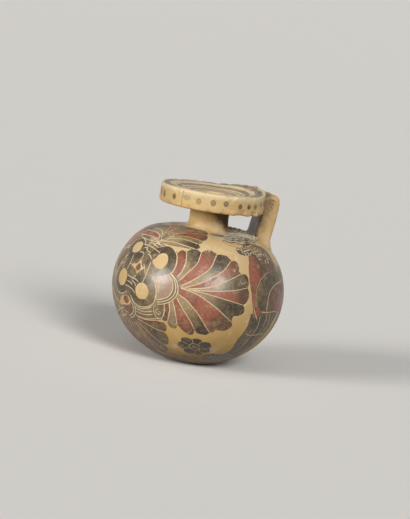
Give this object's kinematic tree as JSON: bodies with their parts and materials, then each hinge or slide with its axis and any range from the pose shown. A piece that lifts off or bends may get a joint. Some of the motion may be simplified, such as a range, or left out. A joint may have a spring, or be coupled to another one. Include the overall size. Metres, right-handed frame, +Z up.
{
  "type": "aryballos",
  "caption": "Round fired-clay oil flask with a narrow neck, a flat plate mouth and a strap handle from shoulder to rim.",
  "frame": {"origin": "middle of the resting ring under the body, on the surface that the flask stands on", "axes": "+Z up along the axis of the body, +Y toward the handle, +X to the side"},
  "size_m": [0.072, 0.072, 0.0751],
  "materials": {
    "painted_clay": "satin slip paint on buff clay, worn",
    "plain_clay": "matt burnished buff clay",
    "dotted_clay": "matt buff clay with painted dots and rings"
  },
  "bodies": {
    "root": {"body": "painted_clay", "neck": "plain_clay", "neck_fillet": "plain_clay", "mouth_plate": "dotted_clay", "handle_strap": "plain_clay", "handle_foot_fillet": "plain_clay"}
  },
  "joints": []
}
